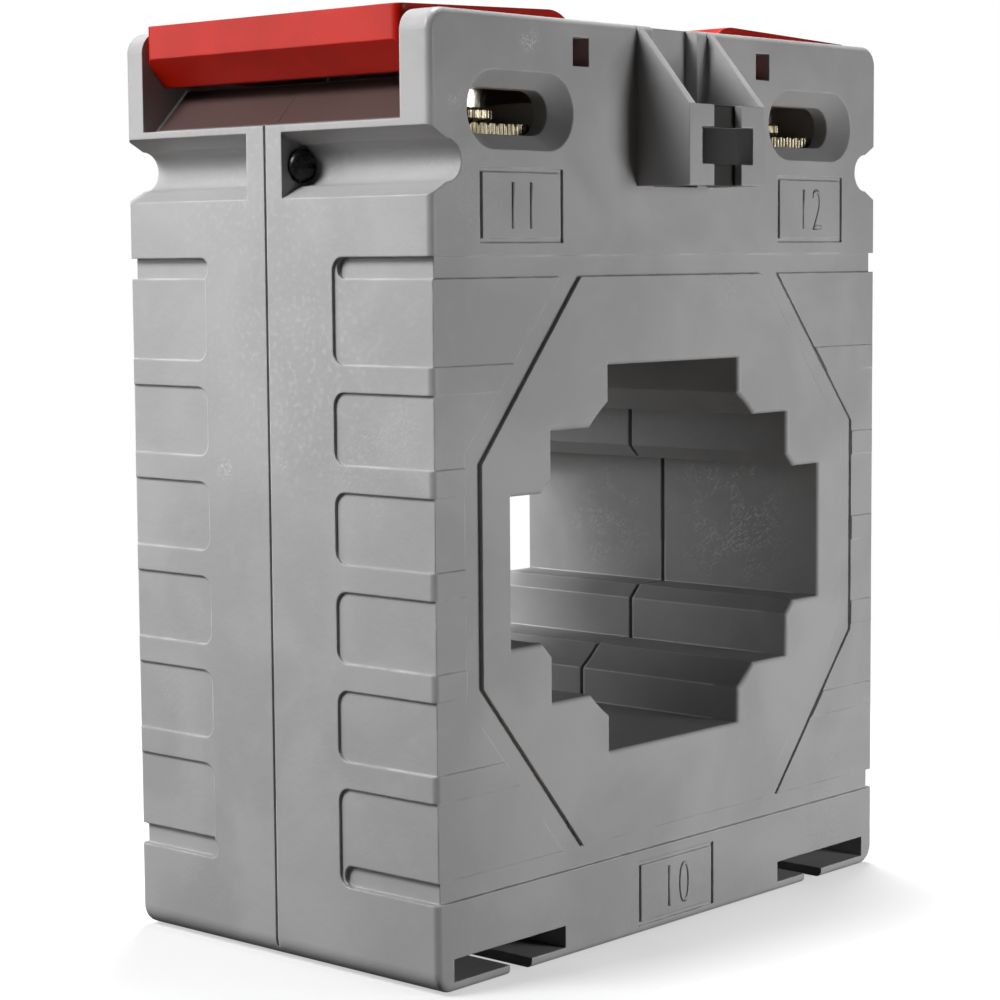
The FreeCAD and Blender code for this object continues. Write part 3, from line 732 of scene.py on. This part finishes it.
@dataclass(frozen=True)
class WoundStrip(Finish):
    """Edges of a steel strip wound on itself round the window."""

    slot: Slot = Slot.CORE
    bright: Colour = (0.42, 0.42, 0.44)
    dark: Colour = (0.16, 0.16, 0.18)
    strip: Pattern = Pattern(0.27 * MM, detail=1.0, warp=0.6)
    strip_depth: float = 0.02 * MM
    cloud: Pattern = Pattern(3 * MM, detail=3.0)
    cloud_band: Band = (0.5, 0.8)
    cloud_share: float = 0.4
    gloss_band: Band = (0.3, 0.7)
    roughness: Band = (0.32, 0.5)
    metallic: float = 0.9

    def paint(self, sheet: Sheet) -> None:
        """Paints the edges of the strip as fine rings.

        Args:
            sheet: Material to fill.
        """
        place = sheet.stretched(centre=WINDOW_CENTRE)
        rings = sheet.wave(self.strip, place, wave_type="RINGS", rings_direction="Y")
        cloud = sheet.noise(self.cloud)
        dull = sheet.span(cloud, self.cloud_band, (0.0, self.cloud_share))
        base = sheet.blend(rings, self.dark, self.bright)
        sheet.dress(
            Base_Color=sheet.blend(dull, base, self.dark),
            Metallic=self.metallic,
            Roughness=sheet.span(cloud, self.gloss_band, self.roughness),
            Normal=sheet.relief(rings, self.strip_depth),
        )


@dataclass(frozen=True)
class WovenTape(Finish):
    """Tape wound round the ring in overlapping turns, with a plain weave."""

    slot: Slot
    colour: Colour
    shade: Colour
    turns: float = 46.0
    slant: float = 22.0
    lap_band: Band = (0.0, 0.09)
    lap_depth: float = 0.12 * MM
    thread: Pattern = Pattern(0.45 * MM)
    thread_scales: tuple[Point, Point] = ((1.0, 0.02, 1.0), (0.02, 1.0, 0.02))
    weave_band: Band = (0.2, 0.9)
    weave_share: float = 0.5
    weave_depth: float = 0.02 * MM
    cloud: Pattern = Pattern(5 * MM, detail=3.0)
    cloud_band: Band = (0.4, 0.8)
    cloud_share: float = 0.5
    roughness: float = 0.78
    sheen: float = 0.15

    def paint(self, sheet: Sheet) -> None:
        """Paints the turns of the tape and its weave.

        Args:
            sheet: Material to fill.
        """
        place = sheet.stretched(centre=WINDOW_CENTRE)
        x, y, z = sheet.add("SeparateXYZ", {0: place}).outputs
        angle = sheet.calc("ARCTAN2", x, z)
        drift = sheet.calc("MULTIPLY", y, self.slant)
        along = sheet.calc("ADD", sheet.calc("MULTIPLY", angle, self.turns / math.tau), drift)
        turn = sheet.calc("FRACT", along)
        rows = [
            sheet.wave(
                self.thread,
                sheet.stretched(scale, centre=WINDOW_CENTRE),
                bands_direction="DIAGONAL",
            )
            for scale in self.thread_scales
        ]
        weave = sheet.merge("MAXIMUM", rows)
        lit = sheet.span(weave, self.weave_band, (0.0, self.weave_share))
        dusty = sheet.span(sheet.noise(self.cloud), self.cloud_band, (0.0, self.cloud_share))
        base = sheet.blend(lit, self.shade, self.colour)
        base = sheet.blend(dusty, base, self.colour)
        base = sheet.blend(sheet.span(turn, self.lap_band), self.shade, base)
        normal = sheet.relief(turn, self.lap_depth)
        sheet.dress(
            Base_Color=base,
            Roughness=self.roughness,
            Normal=sheet.relief(weave, self.weave_depth, normal),
            Sheen_Weight=self.sheen,
        )


@dataclass(frozen=True)
class Enamel(Finish):
    """Copper wire under clear enamel, wound side by side round the ring."""

    slot: Slot = Slot.WINDING
    colour: Colour = (0.62, 0.22, 0.09)
    dark: Colour = (0.36, 0.10, 0.04)
    gap: Colour = (0.08, 0.02, 0.01)
    turns: float = 210.0
    slant: float = 25.0
    gap_band: Band = (0.45, 0.1)
    wire_depth: float = 0.5 * MM
    cloud: Pattern = Pattern(4 * MM, detail=3.0)
    cloud_band: Band = (0.4, 0.75)
    gloss_band: Band = (0.3, 0.7)
    roughness: Band = (0.28, 0.4)
    metallic: float = 0.9
    coat: float = 0.6
    coat_roughness: float = 0.12

    def paint(self, sheet: Sheet) -> None:
        """Paints the wires side by side, with dark gaps between them.

        Args:
            sheet: Material to fill.
        """
        cloud = sheet.noise(self.cloud)
        place = sheet.stretched(centre=WINDOW_CENTRE)
        x, y, z = sheet.add("SeparateXYZ", {0: place}).outputs
        angle = sheet.calc("MULTIPLY", sheet.calc("ARCTAN2", x, z), self.turns / math.tau)
        along = sheet.calc("ADD", angle, sheet.calc("MULTIPLY", y, self.slant))
        offset = sheet.calc("SUBTRACT", sheet.calc("FRACT", along), 0.5)
        across = sheet.calc("MULTIPLY", offset, 2.0)
        squared = sheet.calc("MULTIPLY", across, across)
        crown = sheet.calc("SQRT", sheet.calc("SUBTRACT", 1.0, squared))
        base = sheet.blend(sheet.span(cloud, self.cloud_band), self.colour, self.dark)
        sheet.dress(
            Base_Color=sheet.blend(sheet.span(crown, self.gap_band), base, self.gap),
            Metallic=self.metallic,
            Roughness=sheet.span(cloud, self.gloss_band, self.roughness),
            Normal=sheet.relief(crown, self.wire_depth),
            Coat_Weight=self.coat,
            Coat_Roughness=self.coat_roughness,
        )


@dataclass(frozen=True)
class Foam(Finish):
    """Closed-cell foam."""

    slot: Slot = Slot.PAD
    colour: Colour = (0.055, 0.055, 0.06)
    cell: Colour = (0.02, 0.02, 0.022)
    cell_size: float = 0.6 * MM
    cell_band: Band = (0.1, 0.5)
    cell_depth: float = 0.15 * MM
    cloud: Pattern = Pattern(4 * MM, detail=3.0)
    gloss_band: Band = (0.3, 0.7)
    roughness: Band = (0.82, 0.95)

    def paint(self, sheet: Sheet) -> None:
        """Paints the foam and its cells.

        Args:
            sheet: Material to fill.
        """
        sockets = {"Vector": sheet.place, "Scale": 1.0 / self.cell_size}
        cells = sheet.add("TexVoronoi", sockets).outputs["Distance"]
        cloud = sheet.noise(self.cloud)
        sheet.dress(
            Base_Color=sheet.blend(sheet.span(cells, self.cell_band), self.cell, self.colour),
            Roughness=sheet.span(cloud, self.gloss_band, self.roughness),
            Normal=sheet.relief(cells, self.cell_depth),
        )


@dataclass(frozen=True)
class Sleeve(Finish):
    """Insulated lead with a waxy sleeve."""

    slot: Slot = Slot.LEAD
    colour: Colour = (0.70, 0.67, 0.60)
    dull: Colour = (0.55, 0.52, 0.45)
    cloud: Pattern = Pattern(2 * MM, detail=3.0)
    cloud_band: Band = (0.4, 0.75)
    gloss_band: Band = (0.3, 0.7)
    roughness: Band = (0.42, 0.58)
    grain: Pattern = Pattern(0.25 * MM)
    grain_stretch: Point = (1.0, 1.0, 0.3)
    grain_depth: float = 0.01 * MM

    def paint(self, sheet: Sheet) -> None:
        """Paints the sleeve and its fine grain.

        Args:
            sheet: Material to fill.
        """
        cloud = sheet.noise(self.cloud)
        grain = sheet.noise(self.grain, sheet.stretched(self.grain_stretch))
        sheet.dress(
            Base_Color=sheet.blend(sheet.span(cloud, self.cloud_band), self.colour, self.dull),
            Roughness=sheet.span(cloud, self.gloss_band, self.roughness),
            Normal=sheet.relief(grain, self.grain_depth),
        )


class Finishes:
    """All finishes of the transformer, by their slot."""

    def __init__(self) -> None:
        """Builds each finish once."""
        recipes: tuple[Finish, ...] = (
            MouldedPlastic(),
            CoverPlastic(),
            PlatedMetal(
                Slot.TERMINAL,
                colour=(0.54, 0.48, 0.34),
                stain=(0.30, 0.24, 0.13),
                roughness=(0.24, 0.44),
                knurl=0.55 * MM,
            ),
            PlatedMetal(
                Slot.CLAMP_SCREW,
                colour=(0.72, 0.68, 0.58),
                stain=(0.52, 0.46, 0.34),
                roughness=(0.18, 0.38),
                pitch=0.8 * MM,
            ),
            BlackOxide(),
            WoundStrip(),
            WovenTape(
                Slot.CORE_TAPE,
                colour=(0.60, 0.46, 0.26),
                shade=(0.44, 0.32, 0.17),
                turns=38.0,
                weave_depth=0.006 * MM,
            ),
            WovenTape(
                Slot.WINDING_TAPE, colour=(0.74, 0.68, 0.48), shade=(0.50, 0.44, 0.28)
            ),
            Enamel(),
            Foam(),
            Sleeve(),
        )
        self.materials = {recipe.slot: recipe.make() for recipe in recipes}

    def put(self, piece: bpy.types.Object, slot: Slot) -> None:
        """Gives a piece the finish of one slot."""
        piece.data.materials.clear()
        piece.data.materials.append(self.materials[slot])


@dataclass
class SubAssembly:
    """Group of pieces, with the CAD nodes and the finishes that it works with."""

    nodes: dict[str, bpy.types.Object]
    finishes: Finishes

    def build(self) -> None:
        """Builds and dresses the pieces, in each group's own way."""
        raise NotImplementedError

    def dress(self, node: str, slot: Slot) -> None:
        """Gives a CAD node the finish of one slot."""
        self.finishes.put(self.nodes[node], slot)
        LOG.info("%s: finish %s", node, slot.value)

    def add_piece(self, name: str, mesh: bpy.types.Mesh, body: str, slot: Slot) -> None:
        """Turns a finished mesh into a piece that rides on a body.

        Args:
            name: Name of the piece.
            mesh: Its mesh, in its place.
            body: Body that carries it.
            slot: Slot of its finish.
        """
        piece = bpy.data.objects.new(name, mesh)
        bpy.context.scene.collection.objects.link(piece)
        self.finishes.put(piece, slot)
        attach(piece, body)
        LOG.info("%s: %d faces on %s", name, len(mesh.polygons), body)


@dataclass(frozen=True)
class CaseNumerals:
    """Plain raised numerals in the engraved frames of the front face."""

    height: float = 5.2 * MM
    relief: float = 0.16 * MM
    sunk: float = 0.01 * MM
    squeeze: float = 0.62
    thinning: float = -0.018
    spacing: float = 1.25
    weld: float = 1e-5
    offset: float = CLAMP_OFFSET
    upper_level: float = 88.5 * MM
    lower_level: float = 5.0 * MM

    def flat_mesh(self, words: str) -> bpy.types.Mesh:
        """Makes one group of numerals as a flat mesh in the font's own size.

        Args:
            words: The numerals.

        Returns:
            The mesh.
        """
        curve = bpy.data.curves.new("numerals", "FONT")
        curve.body = words
        curve.size = 1.0
        curve.align_x = "CENTER"
        curve.align_y = "CENTER"
        curve.offset = self.thinning
        curve.space_character = self.spacing
        holder = bpy.data.objects.new("numerals", curve)
        bpy.context.scene.collection.objects.link(holder)
        bpy.context.view_layer.update()
        graph = bpy.context.evaluated_depsgraph_get()
        mesh = bpy.data.meshes.new_from_object(holder.evaluated_get(graph))
        bpy.data.objects.remove(holder)
        return mesh

    def mesh(self, words: str, x: float, z: float) -> bpy.types.Mesh:
        """Makes one group of numerals as a raised mesh in its place.

        Args:
            words: The numerals.
            x: Middle of the group across the face.
            z: Middle of the group above the base.

        Returns:
            The mesh.
        """
        mesh = self.flat_mesh(words)
        form = bmesh.new()
        form.from_mesh(mesh)
        bmesh.ops.remove_doubles(form, verts=form.verts, dist=self.weld)
        levels = [vert.co.y for vert in form.verts]
        low, high = min(levels), max(levels)
        scale = self.height / (high - low)
        grown = bmesh.ops.extrude_face_region(form, geom=form.faces)
        raised = [item for item in grown["geom"] if isinstance(item, bmesh.types.BMVert)]
        bmesh.ops.translate(form, verts=raised, vec=(0.0, 0.0, self.relief / scale))
        bmesh.ops.recalc_face_normals(form, faces=form.faces)
        place = (
            Matrix.Translation((x, FRONT_FACE + self.sunk, z))
            @ Matrix.Rotation(math.pi / 2, 4, "X")
            @ Matrix.Diagonal((scale * self.squeeze, scale, scale, 1.0))
            @ Matrix.Translation((0.0, -(low + high) / 2, 0.0))
        )
        bmesh.ops.transform(form, matrix=place, verts=form.verts)
        form.to_mesh(mesh)
        form.free()
        return mesh


@dataclass
class Housing(SubAssembly):
    """Moulded case of two shells, with its numerals and case screws."""

    marks: CaseNumerals = CaseNumerals()

    def build(self) -> None:
        """Dresses the shells and screws and adds the numerals."""
        for end in End:
            self.dress(f"{end.value}_shell", Slot.CASE)
        for side in Side:
            self.dress(f"{side.value}_case_screw", Slot.CASE_SCREW)
        marks = self.marks
        groups = (
            ("left_terminal_numerals", "11", -marks.offset, marks.upper_level),
            ("right_terminal_numerals", "12", marks.offset, marks.upper_level),
            ("base_numerals", "10", 0.0, marks.lower_level),
        )
        for name, words, x, z in groups:
            self.add_piece(name, marks.mesh(words, x, z), "case", Slot.CASE)


@dataclass
class Terminals(SubAssembly):
    """Terminal plates with their leads, covers, clamp washers and clamp screws."""

    def build(self) -> None:
        """Dresses every terminal piece."""
        for side in (side.value for side in Side):
            self.dress(f"{side}_terminal_plate", Slot.TERMINAL)
            self.dress(f"{side}_terminal_cover", Slot.COVER)
            self.dress(f"{side}_lead", Slot.LEAD)
            for end in (end.value for end in End):
                self.dress(f"{side}_{end}_clamp_washer", Slot.TERMINAL)
                self.dress(f"{side}_{end}_clamp_screw", Slot.CLAMP_SCREW)


@dataclass
class MagneticCore(SubAssembly):
    """Core, winding, tapes and pads inside the case."""

    def build(self) -> None:
        """Dresses the hidden pieces."""
        self.dress("core_ring", Slot.CORE)
        self.dress("core_wrap", Slot.CORE_TAPE)
        self.dress("secondary_winding", Slot.WINDING)
        self.dress("winding_wrap", Slot.WINDING_TAPE)
        for end in End:
            self.dress(f"{end.value}_core_pad", Slot.PAD)


@dataclass(frozen=True)
class Lamp:
    """One soft box: where it stands, how large and bright it is, and whether gloss shows it."""

    name: str
    place: Point
    size: tuple[float, float]
    level: float
    glares: bool = True

    def set_up(self, target: Vector) -> None:
        """Puts the lamp up, aimed at a point, where its level of light arrives.

        Args:
            target: Point that the lamp faces.
        """
        data = bpy.data.lights.new(self.name, "AREA")
        data.shape = "RECTANGLE"
        data.size, data.size_y = self.size
        reach = Vector(self.place) - target
        data.energy = self.level * math.pi**2 * reach.length_squared
        lamp = bpy.data.objects.new(self.name, data)
        lamp.location = self.place
        lamp.rotation_mode = "QUATERNION"
        lamp.rotation_quaternion = reach.to_track_quat("Z", "Y")
        lamp.visible_glossy = self.glares
        bpy.context.scene.collection.objects.link(lamp)


@dataclass(frozen=True)
class Camera:
    """Camera where the photograph was taken from, fitted to corners of the case."""

    place: Point = (-0.25072, -0.22129, 0.0828)
    forward: Point = (0.74113, 0.66484, -0.09334)
    right: Point = (0.6672, -0.74484, -0.00776)
    lens: float = 93.58
    sensor: float = 36.0
    clip: Band = (0.01, 20.0)

    def set_up(self) -> None:
        """Places the camera and makes it the scene's own."""
        data = bpy.data.cameras.new("camera")
        data.lens = self.lens
        data.sensor_width = self.sensor
        data.clip_start, data.clip_end = self.clip
        forward = Vector(self.forward).normalized()
        right = Vector(self.right)
        right = (right - forward * right.dot(forward)).normalized()
        turn = Matrix((right, right.cross(forward), -forward)).transposed().to_4x4()
        camera = bpy.data.objects.new("camera", data)
        camera.matrix_world = Matrix.Translation(self.place) @ turn
        bpy.context.scene.collection.objects.link(camera)
        bpy.context.scene.camera = camera


@dataclass(frozen=True)
class Studio:
    """White floor and background, soft lamps and the camera."""

    centre: Point = (0.0, 0.0, 55 * MM)
    floor_size: float = 6.0
    floor_segments: int = 96
    floor_level: float = -0.2 * MM
    floor_colour: Colour = (0.86, 0.86, 0.86)
    floor_bounce: Colour = (0.07, 0.064, 0.056)
    floor_roughness: float = 0.9
    floor_specular: float = 0.1
    glow_reach: Band = (0.05, 0.28)
    glow_shares: Band = (0.52, 1.0)
    ambient: float = 0.02
    mirrored: float = 0.10
    dark_side: Point = (-0.72, -0.66, 0.05)
    dark_band: Band = (0.1, 0.85)
    dark_level: float = 0.04
    lamps: tuple[Lamp, ...] = (
        Lamp("key_box", (-0.50, 0.30, 0.30), (0.35, 0.35), 0.20),
        Lamp("rear_box", (-0.35, 0.45, 0.15), (0.30, 0.30), 0.21),
        Lamp("side_box", (-0.26, 0.08, 0.27), (0.12, 0.12), 1.03),
        Lamp("top_box", (0.12, 0.07, 0.60), (0.16, 0.16), 1.60),
        Lamp("fill_box", (0.15, -0.50, 0.08), (0.15, 0.15), 0.31),
        Lamp("low_box", (0.05, -0.16, 0.03), (0.06, 0.04), 0.43, glares=False),
    )
    camera: Camera = Camera()

    def build(self) -> None:
        """Sets up the whole studio."""
        self.add_floor()
        self.add_world()
        for lamp in self.lamps:
            lamp.set_up(Vector(self.centre))
        self.camera.set_up()
        bpy.context.scene.view_settings.view_transform = "Standard"
        LOG.info("studio: floor, world, %d lamps and camera", len(self.lamps))

    def add_floor(self) -> None:
        """Lays a round floor."""
        form = bmesh.new()
        bmesh.ops.create_circle(
            form, cap_ends=True, segments=self.floor_segments, radius=self.floor_size / 2
        )
        bmesh.ops.translate(form, verts=form.verts, vec=(0.0, 0.0, self.floor_level))
        mesh = bpy.data.meshes.new("floor")
        form.to_mesh(mesh)
        form.free()
        mesh.materials.append(self.floor_material())
        floor = bpy.data.objects.new("floor", mesh)
        bpy.context.scene.collection.objects.link(floor)

    def floor_material(self) -> bpy.types.Material:
        """Makes white paper that shows the shadow near the case and glows farther away.

        It looks white to the camera only: it throws little light back on the case.

        Returns:
            The material.
        """
        sheet = Sheet("floor_white")
        rays = sheet.add("LightPath", {}).outputs
        camera = rays["Is Camera Ray"]
        sheet.dress(
            Base_Color=sheet.blend(camera, self.floor_bounce, self.floor_colour),
            Roughness=self.floor_roughness,
            Specular_IOR_Level=self.floor_specular,
        )
        mirror = sheet.calc("MAXIMUM", rays["Is Glossy Ray"], rays["Is Transmission Ray"])
        mirror = sheet.calc("MULTIPLY", mirror, self.mirrored)
        seen = sheet.calc("MAXIMUM", camera, mirror)
        away = sheet.add("VectorMath", {0: sheet.place}, operation="LENGTH").outputs["Value"]
        white = sheet.span(away, self.glow_reach, self.glow_shares)
        share = sheet.calc("MULTIPLY", seen, white)
        glow = sheet.add("Emission", {"Color": WHITE, "Strength": 1.0}).outputs[0]
        mixed = sheet.add("MixShader", {0: share, 1: sheet.shader.outputs[0], 2: glow})
        sheet.feed(sheet.tree.nodes["Material Output"].inputs["Surface"], mixed.outputs[0])
        return sheet.material

    def add_world(self) -> None:
        """Makes a world that is white to the camera and dim as a light.

        Gloss mirrors it a little brighter, and it is darker on the camera's side.
        """
        world = bpy.data.worlds.new("studio")
        world.use_nodes = True
        world.node_tree.nodes.clear()
        bpy.context.scene.world = world
        graph = NodeGraph(world.node_tree)
        direction = graph.add("TexCoord", {}).outputs["Generated"]
        dark = Vector(self.dark_side).normalized()
        facing = graph.add("VectorMath", {0: direction, 1: dark}, operation="DOT_PRODUCT")
        shade = graph.span(facing.outputs["Value"], self.dark_band, (1.0, self.dark_level))
        rays = graph.add("LightPath", {}).outputs
        mirror = graph.calc("MAXIMUM", rays["Is Glossy Ray"], rays["Is Transmission Ray"])
        extra = graph.calc("MULTIPLY", mirror, self.mirrored - self.ambient)
        level = graph.calc("ADD", extra, self.ambient)
        level = graph.calc("MULTIPLY", level, shade)
        level = graph.calc("MAXIMUM", level, rays["Is Camera Ray"])
        light = graph.add("Background", {"Color": WHITE, "Strength": level}).outputs[0]
        graph.add("OutputWorld", {"Surface": light})


def main() -> None:
    """Builds every sub-assembly in order, then the studio."""
    logging.basicConfig(level=logging.INFO, format="%(name)s: %(message)s")
    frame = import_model()
    finishes = Finishes()
    for group in (Housing, Terminals, MagneticCore):
        group(frame["nodes"], finishes).build()
    Studio().build()


if __name__ == "__main__":
    main()
